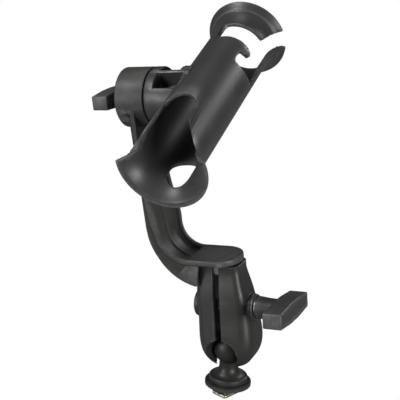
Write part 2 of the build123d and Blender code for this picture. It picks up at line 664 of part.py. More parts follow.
# Start angle, span, first station and last station of each cut in the tube's wall
SLOT_CUTS = (
    (-15, 120, 70.2, 96.2),
    (64, 44, 34.0, 74.0),
    (44, 24, 34.0, 52.5),
    (74, 31, 92.0, 130.0),
)
with BuildPart() as rod_tube:
    with BuildSketch(across(TUBE_HUB_X, HUB_Z)):
        Circle(HUB_R)
    extrude(amount=TUBE_X - TUBE_HUB_X - 12)
    # Windows cored out of the hub between its band and the tube, around the bolt's boss
    for start, span in WINDOW_SPANS:
        side = Plane(origin=(0, 0, HUB_Z), x_dir=(1, 0, 0), z_dir=(0, -1, 0))
        with BuildSketch(side.rotated((start, 0, 0))):
            with Locations((TUBE_HUB_X + HUB_BAND_T, HUB_CORE_D / 2)):
                Rectangle(WINDOW_W, HUB_R, align=(Align.MIN, Align.MIN))
        revolve(
            axis=Axis((0, 0, HUB_Z), (1, 0, 0)), revolution_arc=span, mode=Mode.SUBTRACT
        )
    with BuildSketch(tube_plane(0)):
        with BuildLine():
            tube_skin(0)
            Polyline(
                (COLLAR_S, flare_height(COLLAR_S, collar_flare, 0)),
                (COLLAR_S, 0),
                (SCOOP_S, 0),
                (SCOOP_S, flare_height(-SCOOP_S, scoop_flare, 0)),
            )
        make_face()
    revolve(axis=TUBE_AXIS)
    with BuildSketch(tube_plane(0)):
        with BuildLine():
            tube_skin(TUBE_WALL)
            Polyline(
                (COLLAR_S, flare_height(COLLAR_S, collar_flare, TUBE_WALL)),
                (COLLAR_S, 0),
                (SCOOP_S, 0),
                (SCOOP_S, flare_height(-SCOOP_S, scoop_flare, TUBE_WALL)),
            )
        make_face()
    revolve(axis=TUBE_AXIS, mode=Mode.SUBTRACT)
    # The top of the scoop is open, wide at the mouth and narrowing to a round end
    scoop_plane = Plane(TUBE_ORIGIN + TUBE_UP * SCOOP_FLOOR, x_dir=TUBE_ALONG, z_dir=TUBE_UP)
    straight_s = SCOOP_APEX_S - SCOOP_HALF
    with BuildSketch(scoop_plane):
        with BuildLine():
            Line(SCOOP_EDGE[0], (SCOOP_EDGE[0][0], -SCOOP_EDGE[0][1]))
            Spline(*SCOOP_EDGE, (straight_s, SCOOP_HALF))
            ThreePointArc((straight_s, SCOOP_HALF), (SCOOP_APEX_S, 0), (straight_s, -SCOOP_HALF))
            Spline((straight_s, -SCOOP_HALF), *[(s, -half) for s, half in reversed(SCOOP_EDGE)])
        make_face()
    extrude(amount=HUB_D, mode=Mode.SUBTRACT)
    with BuildSketch(Plane(TUBE_ORIGIN, x_dir=TUBE_ALONG, z_dir=-TUBE_UP)):
        with Locations((DRAIN_S, 0)):
            SlotOverall(DRAIN_L, DRAIN_W)
    extrude(amount=HUB_D, mode=Mode.SUBTRACT)
    # The collar's slot, its hooked pocket and the way in through the rim
    for start, span, first, last in SLOT_CUTS:
        with BuildSketch(tube_plane(start)):
            with Locations((first, 20)):
                Rectangle(last - first, 40, align=(Align.MIN, Align.MIN))
        revolve(axis=TUBE_AXIS, revolution_arc=span, mode=Mode.SUBTRACT)
    # Hub face
    with BuildSketch(across(TUBE_HUB_X, HUB_Z)):
        with PolarLocations(TOOTH_RING_R, TOOTH_COUNT):
            Rectangle(TOOTH_L, TOOTH_W)
    extrude(amount=-TOOTH_H)
    with BuildSketch(across(TUBE_HUB_X, HUB_Z)):
        Circle(SPRING_D / 2 + 1.0)
    extrude(amount=SPRING_POCKET, mode=Mode.SUBTRACT)
    with BuildSketch(across(TUBE_HUB_X, HUB_Z)):
        Circle(HUB_BOLT_D / 2 + RUN)
    extrude(amount=HUB_HEAD_X - TUBE_HUB_X + 1, mode=Mode.SUBTRACT)
    with BuildSketch(across(HUB_HEAD_X, HUB_Z)):
        RegularPolygon(HEX_AF / 2 + RUN, 6, major_radius=False)
    extrude(amount=HEAD_T + 0.2, mode=Mode.SUBTRACT)
rod_tube.part.label = "rod_tube"
export_step(rod_tube.part.rotate(LEAN_AXIS, LEAN), "parts/rod_tube.step")
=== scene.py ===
import json
import math

import bpy
from bpy.props import FloatProperty, FloatVectorProperty, IntProperty, PointerProperty
from mathutils import Matrix, Quaternion, Vector
from mathutils.bvhtree import BVHTree


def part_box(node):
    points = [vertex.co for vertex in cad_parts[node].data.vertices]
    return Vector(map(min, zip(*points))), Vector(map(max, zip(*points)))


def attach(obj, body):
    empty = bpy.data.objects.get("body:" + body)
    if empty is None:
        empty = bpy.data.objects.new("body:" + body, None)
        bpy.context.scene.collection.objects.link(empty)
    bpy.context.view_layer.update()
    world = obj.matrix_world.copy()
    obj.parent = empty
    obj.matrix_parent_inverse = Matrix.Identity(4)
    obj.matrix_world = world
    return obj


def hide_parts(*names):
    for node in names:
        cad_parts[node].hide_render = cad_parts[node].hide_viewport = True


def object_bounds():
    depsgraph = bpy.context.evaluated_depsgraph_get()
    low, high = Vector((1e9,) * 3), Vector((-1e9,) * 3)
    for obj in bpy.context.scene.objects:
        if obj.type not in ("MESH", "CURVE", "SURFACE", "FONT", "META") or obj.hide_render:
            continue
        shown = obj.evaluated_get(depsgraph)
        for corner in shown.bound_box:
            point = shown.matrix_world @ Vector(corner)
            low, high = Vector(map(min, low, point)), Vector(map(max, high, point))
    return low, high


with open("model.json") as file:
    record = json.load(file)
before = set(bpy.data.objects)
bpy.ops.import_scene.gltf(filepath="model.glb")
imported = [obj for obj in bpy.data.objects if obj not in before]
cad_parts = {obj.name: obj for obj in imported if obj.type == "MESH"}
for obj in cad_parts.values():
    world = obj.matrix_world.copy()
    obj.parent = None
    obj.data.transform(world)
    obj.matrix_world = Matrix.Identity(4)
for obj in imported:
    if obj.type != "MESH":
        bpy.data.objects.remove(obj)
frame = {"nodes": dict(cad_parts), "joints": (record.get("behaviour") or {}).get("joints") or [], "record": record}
CAD_BOX = [list(corner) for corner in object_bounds()]

bl_info = {
    "name": "Rod Holder",
    "version": (1, 0, 0),
    "blender": (4, 5, 0),
    "location": "3D View > Sidebar > Rod Holder",
    "description": "Models and finishes a tube rod holder on its arm, clamp and ball",
    "category": "Add Mesh",
}

# Pieces are modelled in millimetres and are scaled to metres when they are settled.
MM = 0.001
JOINTS = {joint["name"]: joint for joint in frame["joints"]}
BALL = Vector(JOINTS["ball_lean"]["pos_m"]) / MM
LEAN_AXIS = Vector(JOINTS["ball_lean"]["axis"])
BOLT_AXIS = Vector(JOINTS["clamp_knob_turn"]["axis"])


def lean_angle():
    """The angle that carries +X onto the clamp bolt's axis, about the ball's lean axis."""
    level = Vector((1, 0, 0))
    level = level - level.project(LEAN_AXIS)
    bolt = BOLT_AXIS - BOLT_AXIS.project(LEAN_AXIS)
    return math.copysign(level.angle(bolt), level.cross(bolt).dot(LEAN_AXIS))


# Pieces above the ball are modelled standing straight up and are then leaned about its centre.
LEAN = (
    Matrix.Translation(BALL)
    @ Matrix.Rotation(lean_angle(), 4, LEAN_AXIS)
    @ Matrix.Translation(-BALL)
)
UPRIGHT = LEAN.inverted()
TO_FRAME = Matrix.Scale(MM, 4) @ LEAN
HUB = UPRIGHT @ (Vector(JOINTS["tube_tilt"]["pos_m"]) / MM)
CLAMP = UPRIGHT @ (Vector(JOINTS["clamp_knob_turn"]["pos_m"]) / MM)


def placed(origin, x_axis, y_axis, z_axis):
    """The matrix of a working frame from its origin and its three axes."""
    turn = Matrix((x_axis, y_axis, z_axis)).transposed().to_4x4()
    return Matrix.Translation(origin) @ turn


# Along the bolts: Z runs along +X, X points up and angles grow towards -Y.
BOLT_TURN = ((0, 0, 1), (0, -1, 0), (1, 0, 0))


# ---------------------------------------------------------------- sizes and colours
def length(name, description, millimetres):
    """A length in metres that is shown in the file's units."""
    return FloatProperty(
        name=name, description=description, default=millimetres * MM, min=0.0, unit="LENGTH"
    )


DISPLAY_GAMMA = 2.2
BLUE_LOSS = 1.6


def colour(name, description, level, warmth=0.0):
    """A near-neutral colour from a display level out of 255, warmer as warmth grows."""
    linear = (level / 255) ** DISPLAY_GAMMA
    return FloatVectorProperty(
        name=name,
        description=description,
        default=(linear * (1 + warmth), linear, linear * (1 - BLUE_LOSS * warmth), 1.0),
        subtype="COLOR",
        size=4,
        min=0.0,
        max=1.0,
    )


class RodHolderSizes(bpy.types.PropertyGroup):
    """Sizes of the rod holder's visible mouldings"""

    tube_diameter: length("Tube Diameter", "Outside of the tube between its flares", 69.2)
    tube_wall: length("Tube Wall", "Thickness of the tube's wall", 4.1)
    tube_offset: length("Tube Offset", "From the ball's centre across to the tube's axis", 4.8)
    tube_tilt: FloatProperty(
        name="Tube Tilt",
        description="Rise of the tube above level when the holder stands upright",
        default=math.radians(19.4),
        subtype="ANGLE",
    )
    flare_start: length("Flare Start", "From the hub's axis to where each flare begins", 98.0)
    collar_reach: length("Collar Reach", "From the hub's axis to the collar's rim", 126.0)
    collar_radius: length("Collar Radius", "Outside radius of the collar's rim", 46.9)
    scoop_reach: length("Scoop Reach", "From the hub's axis to the scoop's rim", 129.2)
    scoop_radius: length("Scoop Radius", "Outside radius of the scoop's rim", 50.0)
    rim_lip: length("Rim Lip", "Height of the raised lip round each flare's rim", 0.9)
    edge_round: length("Edge Round", "Rounding of the moulded edges", 1.0)
    hub_diameter: length("Hub Diameter", "Outside of the tilt hub", 66.0)
    clamp_handle: length("Clamp Handle", "Length of the clamp's T handle", 86.0)
    tilt_handle: length("Tilt Handle", "Length of the tilt hub's T handle", 64.0)
    handle_round: length("Handle Round", "Rounding of the T handles' edges", 1.7)
    panel_lip: length("Panel Lip", "Width of the lip round the arm's side panels", 6.0)
    panel_sink: length("Panel Sink", "Depth of the arm's side panels", 1.1)
    thread_pitch: length("Thread Pitch", "Pitch of the track bolt's thread", 1.6)
    tube_sides: IntProperty(
        name="Tube Sides", description="Flats round the tube", default=96, min=24, max=192
    )


class RodHolderColours(bpy.types.PropertyGroup):
    """Colours of the rod holder's finishes"""

    tube: colour("Tube", "Smooth moulded composite of the tube", 62)
    arm: colour("Arm", "Grained composite of the arm and its hub", 56, 0.03)
    jaws: colour("Jaws", "Smooth composite of the clamp's jaws", 50, 0.03)
    ball: colour("Ball", "Composite of the ball, post and flange", 42, 0.03)
    knobs: colour("Knobs", "Composite of the T handles", 60)
    rubber: colour("Rubber", "Base washer", 38, 0.03)
    # Lighter colour painted on the composite's edges as a highlight
    painted_highlight: colour("Painted Edge Highlight", "Composite colour painted on edges as a highlight", 140)


# ---------------------------------------------------------------- materials
def new_group(name, inputs, outputs):
    """An empty shader node group with named sockets and their defaults."""
    group = bpy.data.node_groups.new(name, "ShaderNodeTree")
    for title, kind, value in inputs:
        socket = group.interface.new_socket(title, in_out="INPUT", socket_type=kind)
        socket.default_value = value
    for title, kind in outputs:
        group.interface.new_socket(title, in_out="OUTPUT", socket_type=kind)
    return group, group.nodes.new("NodeGroupInput"), group.nodes.new("NodeGroupOutput")


def wire(tree, kind, inputs=None, **settings):
    """Adds a node, sets its attributes, and sets or links its inputs."""
    node = tree.nodes.new(kind)
    for name, value in settings.items():
        setattr(node, name, value)
    for key, value in (inputs or {}).items():
        socket = node.inputs[key]
        if isinstance(value, bpy.types.NodeSocket):
            tree.links.new(value, socket)
        else:
            socket.default_value = value
    return node


COLOUR, NUMBER, VECTOR = "NodeSocketColor", "NodeSocketFloat", "NodeSocketVector"


def moulded_grain():
    """Fine moulded grain with soft clouding: a colour, a roughness and a height."""
    group, entry, leave = new_group(
        "Moulded Grain",
        [
            ("Vector", VECTOR, (0, 0, 0)),
            ("Colour", COLOUR, (0.05, 0.05, 0.05, 1)),
            ("Roughness", NUMBER, 0.5),
            ("Grain Size", NUMBER, 0.6),
            ("Clouding", NUMBER, 0.12),
            ("Roughness Spread", NUMBER, 0.08),
        ],
        [("Colour", COLOUR), ("Roughness", NUMBER), ("Height", NUMBER)],
    )
    socket = entry.outputs
    scale = wire(group, "ShaderNodeMath", {0: 1000.0, 1: socket["Grain Size"]}, operation="DIVIDE")
    grain = wire(
        group,
        "ShaderNodeTexNoise",
        {"Vector": socket["Vector"], "Scale": scale.outputs[0], "Detail": 3.0, "Roughness": 0.6},
    )
    cloud = wire(
        group,
        "ShaderNodeTexNoise",
        {"Vector": socket["Vector"], "Scale": 38.0, "Detail": 4.0, "Roughness": 0.55},
    )
    fleck = wire(
        group,
        "ShaderNodeTexNoise",
        {"Vector": socket["Vector"], "Scale": 900.0, "Detail": 1.0, "Roughness": 0.5},
    )
    mixed = wire(
        group,
        "ShaderNodeMath",
        {0: cloud.outputs["Fac"], 1: 0.7, 2: fleck.outputs["Fac"]},
        operation="MULTIPLY_ADD",
    )
    gain = wire(
        group,
        "ShaderNodeMapRange",
        {
            "Value": mixed.outputs[0],
            "From Min": 0.55,
            "From Max": 1.15,
            "To Min": -1.0,
            "To Max": 1.0,
        },
        clamp=True,
    )
    bright = wire(
        group,
        "ShaderNodeMath",
        {0: gain.outputs["Result"], 1: socket["Clouding"], 2: 1.0},
        operation="MULTIPLY_ADD",
    )
    shade = wire(
        group,
        "ShaderNodeVectorMath",
        {0: socket["Colour"], "Scale": bright.outputs[0]},
        operation="SCALE",
    )
    rough = wire(
        group,
        "ShaderNodeMath",
        {0: gain.outputs["Result"], 1: socket["Roughness Spread"], 2: socket["Roughness"]},
        operation="MULTIPLY_ADD",
        use_clamp=True,
    )
    group.links.new(shade.outputs["Vector"], leave.inputs["Colour"])
    group.links.new(rough.outputs[0], leave.inputs["Roughness"])
    group.links.new(grain.outputs["Fac"], leave.inputs["Height"])
    return group


def painted_edge_highlight():
    """Painted highlight: edges made lighter and smoother, corners and hollows left as they are."""
    group, entry, leave = new_group(
        "Painted Highlight On Edges",
        [
            ("Vector", VECTOR, (0, 0, 0)),
            ("Colour", COLOUR, (0.05, 0.05, 0.05, 1)),
            ("Roughness", NUMBER, 0.5),
            ("Highlight Colour", COLOUR, (0.2, 0.2, 0.2, 1)),
            ("Amount", NUMBER, 0.4),
        ],
        [("Colour", COLOUR), ("Roughness", NUMBER)],
    )
    socket = entry.outputs
    form = wire(group, "ShaderNodeNewGeometry")
    ridge = wire(
        group,
        "ShaderNodeMapRange",
        {"Value": form.outputs["Pointiness"], "From Min": 0.507, "From Max": 0.57},
        clamp=True,
    )
    patch = wire(
        group,
        "ShaderNodeTexNoise",
        {"Vector": socket["Vector"], "Scale": 160.0, "Detail": 5.0, "Roughness": 0.65},
    )
    broken = wire(
        group,
        "ShaderNodeMapRange",
        {
            "Value": patch.outputs["Fac"],
            "From Min": 0.3,
            "From Max": 0.62,
            "To Min": 0.25,
            "To Max": 1.0,
        },
        clamp=True,
    )
    # Convex edges, broken up by noise, are painted lighter as a highlight
    bright_edge = wire(
        group,
        "ShaderNodeMath",
        {0: ridge.outputs["Result"], 1: broken.outputs["Result"]},
        operation="MULTIPLY",
    )
    mask = wire(
        group,
        "ShaderNodeMath",
        {0: bright_edge.outputs[0], 1: socket["Amount"]},
        operation="MULTIPLY",
        use_clamp=True,
    )
    tint = wire(
        group,
        "ShaderNodeMix",
        {0: mask.outputs[0], "A": socket["Colour"], "B": socket["Highlight Colour"]},
        data_type="RGBA",
    )
    smooth = wire(
        group,
        "ShaderNodeMath",
        {0: mask.outputs[0], 1: -0.18, 2: socket["Roughness"]},
        operation="MULTIPLY_ADD",
        use_clamp=True,
    )
    group.links.new(tint.outputs["Result"], leave.inputs["Colour"])
    group.links.new(smooth.outputs[0], leave.inputs["Roughness"])
    return group


def turned_lines():
    """Fine lathe lines and tarnish on metal: a colour, a roughness and a height."""
    group, entry, leave = new_group(
        "Turned Lines",
        [
            ("Vector", VECTOR, (0, 0, 0)),
            ("Colour", COLOUR, (0.6, 0.6, 0.6, 1)),
            ("Tarnish", COLOUR, (0.3, 0.3, 0.3, 1)),
            ("Roughness", NUMBER, 0.3),
            ("Tarnish Amount", NUMBER, 0.3),
        ],
        [("Colour", COLOUR), ("Roughness", NUMBER), ("Height", NUMBER)],
    )
    socket = entry.outputs
    lines = wire(
        group,
        "ShaderNodeTexWave",
        {"Vector": socket["Vector"], "Scale": 420.0, "Distortion": 1.5, "Detail": 2.0},
        wave_type="RINGS",
        rings_direction="SPHERICAL",
    )
    blotch = wire(
        group,
        "ShaderNodeTexNoise",
        {"Vector": socket["Vector"], "Scale": 120.0, "Detail": 6.0, "Roughness": 0.6},
    )
    mask = wire(
        group,
        "ShaderNodeMapRange",
        {"Value": blotch.outputs["Fac"], "From Min": 0.42, "From Max": 0.68},
        clamp=True,
    )
    amount = wire(
        group,
        "ShaderNodeMath",
        {0: mask.outputs["Result"], 1: socket["Tarnish Amount"]},
        operation="MULTIPLY",
        use_clamp=True,
    )
    tint = wire(
        group,
        "ShaderNodeMix",
        {0: amount.outputs[0], "A": socket["Colour"], "B": socket["Tarnish"]},
        data_type="RGBA",
    )
    rough = wire(
        group,
        "ShaderNodeMath",
        {0: amount.outputs[0], 1: 0.35, 2: socket["Roughness"]},
        operation="MULTIPLY_ADD",
        use_clamp=True,
    )
    group.links.new(tint.outputs["Result"], leave.inputs["Colour"])
    group.links.new(rough.outputs[0], leave.inputs["Roughness"])
    group.links.new(lines.outputs["Fac"], leave.inputs["Height"])
    return group


GROUPS = {}


def group_of(build):
    """The node group that a function builds, made the first time that it is wanted."""
    if build.__name__ not in GROUPS:
        GROUPS[build.__name__] = build()
    return GROUPS[build.__name__]


def pattern(tree, build, inputs):
    """Places a node group in a material and sets or links its inputs."""
    return wire(tree, "ShaderNodeGroup", inputs, node_tree=group_of(build))


def finish_shader(name, metallic=0.0):
    """A material with a Principled shader and Object coordinates, ready for its pattern."""
    material = bpy.data.materials.new(name)
    material.use_nodes = True
    tree = material.node_tree
    shader = tree.nodes["Principled BSDF"]
    shader.inputs["Metallic"].default_value = metallic
    place = wire(tree, "ShaderNodeTexCoord").outputs["Object"]
    return material, tree, shader, place


def surface(tree, shader, look, height, strength, depth):
    """Links a pattern's colour and roughness, and its height as a bump, to the shader."""
    relief = {"Strength": strength, "Distance": depth, "Height": height}
    bump = wire(tree, "ShaderNodeBump", relief)
    tree.links.new(look.outputs["Colour"], shader.inputs["Base Color"])
    tree.links.new(look.outputs["Roughness"], shader.inputs["Roughness"])
    tree.links.new(bump.outputs["Normal"], shader.inputs["Normal"])


GRAIN_STRENGTH = 0.8
LINE_STRENGTH = 0.25
LINE_DEPTH = 0.00002


def composite(name, base, roughness, grain_size, grain_depth, clouding, highlight_strength, highlight_colour):
    """Glass-filled moulded composite: grain, clouding and a painted highlight on its edges."""
    material, tree, shader, place = finish_shader(name)
    grain = pattern(
        tree,
        moulded_grain,
        {
            "Vector": place,
            "Colour": base,
            "Roughness": roughness,
            "Grain Size": grain_size,
            "Clouding": clouding,
        },
    )
    # Edges painted lighter as a highlight
    painted_highlight = pattern(
        tree,
        painted_edge_highlight,
        {
            "Vector": place,
            "Colour": grain.outputs["Colour"],
            "Roughness": grain.outputs["Roughness"],
            "Highlight Colour": highlight_colour,
            "Amount": highlight_strength,
        },
    )
    surface(tree, shader, painted_highlight, grain.outputs["Height"], GRAIN_STRENGTH, grain_depth * MM)
    return material


def metal(name, base, tarnish, roughness, tarnish_amount):
    """Turned or rolled metal with fine lines and a little tarnish."""
    material, tree, shader, place = finish_shader(name, metallic=1.0)
    lines = pattern(
        tree,
        turned_lines,
        {
            "Vector": place,
            "Colour": base,
            "Tarnish": tarnish,
            "Roughness": roughness,
            "Tarnish Amount": tarnish_amount,
        },
    )
    surface(tree, shader, lines, lines.outputs["Height"], LINE_STRENGTH, LINE_DEPTH)
    return material


FINISHES = {}


def make_finishes(colours):
    """Every finish of the rod holder, by the record's slot names."""
    tube, arm, jaws = tuple(colours.tube), tuple(colours.arm), tuple(colours.jaws)
    ball, knobs, rubber = tuple(colours.ball), tuple(colours.knobs), tuple(colours.rubber)
    painted_highlight = tuple(colours.painted_highlight)
    # The sixth column is how strongly the edges are painted lighter as a highlight
    for name, base, roughness, grain_size, grain_depth, highlight_strength, clouding in (
        ("tube_composite", tube, 0.40, 0.9, 0.03, 0.6, 0.14),
        ("arm_composite", arm, 0.52, 0.8, 0.14, 0.40, 0.30),
        ("jaw_composite", jaws, 0.42, 1.2, 0.02, 0.30, 0.26),
        ("ball_composite", ball, 0.45, 0.7, 0.05, 0.30, 0.22),
        ("knob_composite", knobs, 0.46, 0.9, 0.03, 0.40, 0.18),
        ("ring_plastic", knobs, 0.45, 0.9, 0.03, 0.30, 0.18),
        ("base_rubber", rubber, 0.65, 0.7, 0.08, 0.15, 0.20),
    ):
        FINISHES[name] = composite(
            name, base, roughness, grain_size, grain_depth, clouding, highlight_strength, painted_highlight
        )
    for name, base, tarnish, roughness, amount in (
        ("bright_brass", (0.97, 0.92, 0.76, 1), (0.70, 0.60, 0.38, 1), 0.36, 0.25),
        ("insert_brass", (0.72, 0.58, 0.30, 1), (0.40, 0.28, 0.12, 1), 0.35, 0.30),
        ("ring_steel", (0.20, 0.20, 0.20, 1), (0.08, 0.08, 0.08, 1), 0.42, 0.40),
        ("bolt_steel", (0.56, 0.56, 0.55, 1), (0.30, 0.28, 0.26, 1), 0.30, 0.25),
        ("pin_steel", (0.30, 0.30, 0.30, 1), (0.15, 0.15, 0.14, 1), 0.35, 0.30),
        ("spring_steel", (0.50, 0.50, 0.49, 1), (0.25, 0.24, 0.22, 1), 0.30, 0.30),
    ):
        FINISHES[name] = metal(name, base, tarnish, roughness, amount)


def finish_cad_nodes():
    """Gives each CAD node the finish of its slot in the record."""
    for row in frame["record"]["subparts"]:
        node = frame["nodes"][row["node"]]
        for index in range(len(node.material_slots)):
            node.material_slots[index].material = FINISHES[row["material_slot"]]


# ---------------------------------------------------------------- modelling helpers
# Points closer than this are doubles, on a new piece and on a copy of a CAD node
DOUBLES = 0.001
CAD_DOUBLES = 0.02
# The most that a bevel may move a point off the old skin, as a part of its width
STRAY = 0.8


def select_only(piece):
    """Leaves one object selected and active, in object mode."""
    if bpy.context.mode != "OBJECT":
        bpy.ops.object.mode_set(mode="OBJECT")
    bpy.ops.object.select_all(action="DESELECT")
    piece.select_set(True)
    bpy.context.view_layer.objects.active = piece


def start_piece(name, add, **settings):
    """Adds a primitive with its place in its mesh, and opens it all selected in edit mode."""
    if bpy.context.mode != "OBJECT":
        bpy.ops.object.mode_set(mode="OBJECT")
    bpy.ops.object.select_all(action="DESELECT")
    add(**settings)
    piece = bpy.context.object
    piece.name = name
    bpy.ops.object.transform_apply(location=True, rotation=True, scale=True)
    bpy.ops.object.mode_set(mode="EDIT")
    bpy.ops.mesh.select_all(action="SELECT")
    return piece


def close_piece(piece):
    """Merges doubles, turns every face outwards and leaves edit mode."""
    bpy.ops.mesh.select_all(action="SELECT")
    bpy.ops.mesh.remove_doubles(threshold=DOUBLES)
    bpy.ops.mesh.normals_make_consistent(inside=False)
    bpy.ops.object.mode_set(mode="OBJECT")
    return piece


def extruded(step):
    """Extrudes the selection along a vector."""
    bpy.ops.mesh.extrude_region_move(TRANSFORM_OT_translate={"value": tuple(step)})


def turned(name, stations, segments):
    """A solid turned about Z through heights and radii."""
    height, radius = stations[0]
    piece = start_piece(
        name,
        bpy.ops.mesh.primitive_circle_add,
        vertices=segments,
        radius=radius,
        fill_type="NGON",
        location=(0, 0, height),
    )
    for next_height, next_radius in stations[1:]:
        extruded((0, 0, next_height - height))
        ratio = next_radius / radius
        bpy.ops.transform.resize(value=(ratio, ratio, 1), center_override=(0, 0, 0))
        height, radius = next_height, next_radius
    return close_piece(piece)


def outline(name, points):
    """A face drawn point by point from the merged corners of a plane, left selected."""
    piece = start_piece(name, bpy.ops.mesh.primitive_plane_add, size=1)
    bpy.ops.mesh.merge(type="CENTER")
    bpy.ops.mesh.select_all(action="SELECT")
    points = [Vector(point) for point in points]
    bpy.ops.transform.translate(value=points[0])
    for last, point in zip(points, points[1:]):
        extruded(point - last)
    bpy.ops.mesh.select_all(action="SELECT")
    bpy.ops.mesh.edge_face_add()
    return piece


def prism(name, points, along):
    """An outline carried along a vector into a solid."""
    piece = outline(name, points)
    extruded(along)
    return close_piece(piece)


def swept_band(name, stations, inner, outer, step):
    """A cutter swept about Z in steps; a station is an angle, a lowest and a highest height."""
    angle, low, high = stations[0]
    turn = math.radians(angle)
    corners = ((inner, low), (outer, low), (outer, high), (inner, high))
    piece = outline(name, [(r * math.cos(turn), r * math.sin(turn), z) for r, z in corners])
    for next_angle, next_low, next_high in stations[1:]:
        count = max(1, math.ceil((next_angle - angle) / step))
        low_step, high_step = (next_low - low) / count, (next_high - high) / count
        for _ in range(count):
            ratio = (high + high_step - low - low_step) / (high - low)
            extruded((0, 0, 0))
            bpy.ops.transform.rotate(
                value=-math.radians((next_angle - angle) / count),
                orient_axis="Z",
                center_override=(0, 0, 0),
            )
            bpy.ops.transform.resize(value=(1, 1, ratio), center_override=(0, 0, 0))
            bpy.ops.transform.translate(value=(0, 0, low + low_step - low * ratio))
            low, high = low + low_step, high + high_step
        angle = next_angle
    return close_piece(piece)


def modified(piece, kind, **settings):
    """Adds a modifier with its settings and applies it."""
    select_only(piece)
    modifier = piece.modifiers.new(kind.title(), kind)
    for name, value in settings.items():
        setattr(modifier, name, value)
    bpy.ops.object.modifier_apply(modifier=modifier.name)
    return piece


def combined(piece, other, operation="DIFFERENCE"):
    """Joins another solid to a piece, or cuts it away, and takes the other one out."""
    modified(piece, "BOOLEAN", object=other, operation=operation, solver="EXACT")
    bpy.data.objects.remove(other)
    if not piece.data.polygons:
        raise RuntimeError(piece.name + " was lost in a boolean")
    return piece


def rounded(piece, width, segments, angle, merge=0.0):
    """Rounds a piece's sharp edges, after merging what lies closer than a distance."""
    if merge:
        select_only(piece)
        bpy.ops.object.mode_set(mode="EDIT")
        bpy.ops.mesh.select_all(action="SELECT")
        bpy.ops.mesh.remove_doubles(threshold=merge)
        bpy.ops.mesh.dissolve_degenerate(threshold=merge / 2)
        bpy.ops.object.mode_set(mode="OBJECT")
    mesh = piece.data
    skin = BVHTree.FromPolygons(
        [vertex.co.copy() for vertex in mesh.vertices],
        [tuple(face.vertices) for face in mesh.polygons],
    )
    modified(
        piece,
        "BEVEL",
        width=width,
        segments=segments,
        limit_method="ANGLE",
        angle_limit=math.radians(angle),
        use_clamp_overlap=False,
    )
    # Corners that the bevel threw clear of the piece come back to its old skin
    for vertex in piece.data.vertices:
        near, _, _, gap = skin.find_nearest(vertex.co)
        if gap > width * STRAY:
            vertex.co = near
    return piece


def pick(piece, kind, wanted):
    """Selects the vertices, edges or faces that pass a test, and leaves edit mode open."""
    select_only(piece)
    bpy.ops.object.mode_set(mode="EDIT")
    bpy.ops.mesh.select_mode(type=kind)
    bpy.ops.mesh.select_all(action="DESELECT")
    bpy.ops.object.mode_set(mode="OBJECT")
    mesh = piece.data
    count = 0
    for item in {"VERT": mesh.vertices, "EDGE": mesh.edges, "FACE": mesh.polygons}[kind]:
        item.select = wanted(item)
        count += item.select
    bpy.ops.object.mode_set(mode="EDIT")
    if not count:
        raise RuntimeError("Nothing was picked on " + piece.name)


def laid(piece, matrix):
    """Carries a piece's mesh through a matrix and leaves the object at the origin."""
    select_only(piece)
    piece.matrix_world = matrix
    bpy.ops.object.transform_apply(location=True, rotation=True, scale=True)
    return piece


def settle(piece, body, finish, nodes, angle=32.0):
    """Smooths a finished piece, gives it its finish and body, and lets it stand for CAD nodes."""
    select_only(piece)
    bpy.ops.object.shade_smooth_by_angle(angle=math.radians(angle))
    piece.data.materials.clear()
    piece.data.materials.append(FINISHES[finish])
    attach(piece, body)
    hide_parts(*nodes)
    return piece


def merged_copy(node, name, flat):
    """A copy of a CAD node in millimetres, with its doubles merged and its flats joined up."""
    piece = bpy.data.objects.new(name, frame["nodes"][node].data.copy())
    bpy.context.scene.collection.objects.link(piece)
    laid(piece, Matrix.Scale(1 / MM, 4))
    bpy.ops.object.mode_set(mode="EDIT")
    bpy.ops.mesh.select_all(action="SELECT")
    bpy.ops.mesh.customdata_custom_splitnormals_clear()
    bpy.ops.mesh.remove_doubles(threshold=CAD_DOUBLES)
    bpy.ops.mesh.dissolve_limited(angle_limit=math.radians(flat))
    bpy.ops.object.mode_set(mode="OBJECT")
    return piece


# ---------------------------------------------------------------- tube
def sizes_in_mm():
    """The sizes as plain millimetres, angles and counts, by name."""
    sizes = bpy.context.scene.rod_holder_sizes
    values = {}
    for name in RodHolderSizes.__annotations__:
        value = getattr(sizes, name)
        values[name] = value if name in ("tube_tilt", "tube_sides") else round(value / MM, 4)
    return values


# Rings of a flare as parts of its run, and the part from which its lip stands up
FLARE_RINGS = (0.0, 0.14, 0.28, 0.42, 0.54, 0.63, 0.70, 0.712, 0.80, 0.88, 0.95, 1.0)
LIP_FROM = 0.705
TUBE_RINGS = (-60, -30, 0, 30, 60)
BORE_BEYOND = 2.0

# The scoop's open top: distance from the hub along the tube, and half width each side
SCOOP_LEFT = (
    (-140, 60), (-129, 51.5), (-122, 43.8), (-116, 37.2), (-108, 32.2), (-101, 28.9),
    (-92, 24.8), (-84, 21.6), (-76, 19.6),
)
SCOOP_RIGHT = (
    (-140, 60), (-129, 51.5), (-122, 43.4), (-116, 36.4), (-108, 30.6), (-101, 27.0),
    (-92, 22.4), (-84, 19.0), (-78, 17.2), (-73, 17.0), (-69.5, 18.2),
)
SCOOP_APEX = -47.5
SCOOP_HALF = 19.3
SCOOP_FLOOR = 8.0
SCOOP_ARC_STEPS = 24
# The drain hole under the scoop: its place along the tube, its length and its width
DRAIN = (-96.5, 37.0, 28.5)
DRAIN_END_STEPS = 12
THROUGH_WALL = 60

# The collar's slot and the way in through its rim: angle, lowest and highest distance
COLLAR_SLOT = (
    (-15, 81.5, 91), (-14, 77, 93.6), (-12, 71.5, 95.4), (-9, 68.2, 96), (-2, 68.6, 96),
    (13, 69.4, 96), (33, 68.5, 96), (50, 66.2, 96), (58, 63.9, 96), (62, 61.6, 96),
    (64.5, 59, 96), (68, 57, 96.5), (72, 57, 107), (77, 57, 118), (81, 57, 126),
    (83.5, 57, 134), (102, 62, 134), (103, 84, 134), (105, 125, 134),
)
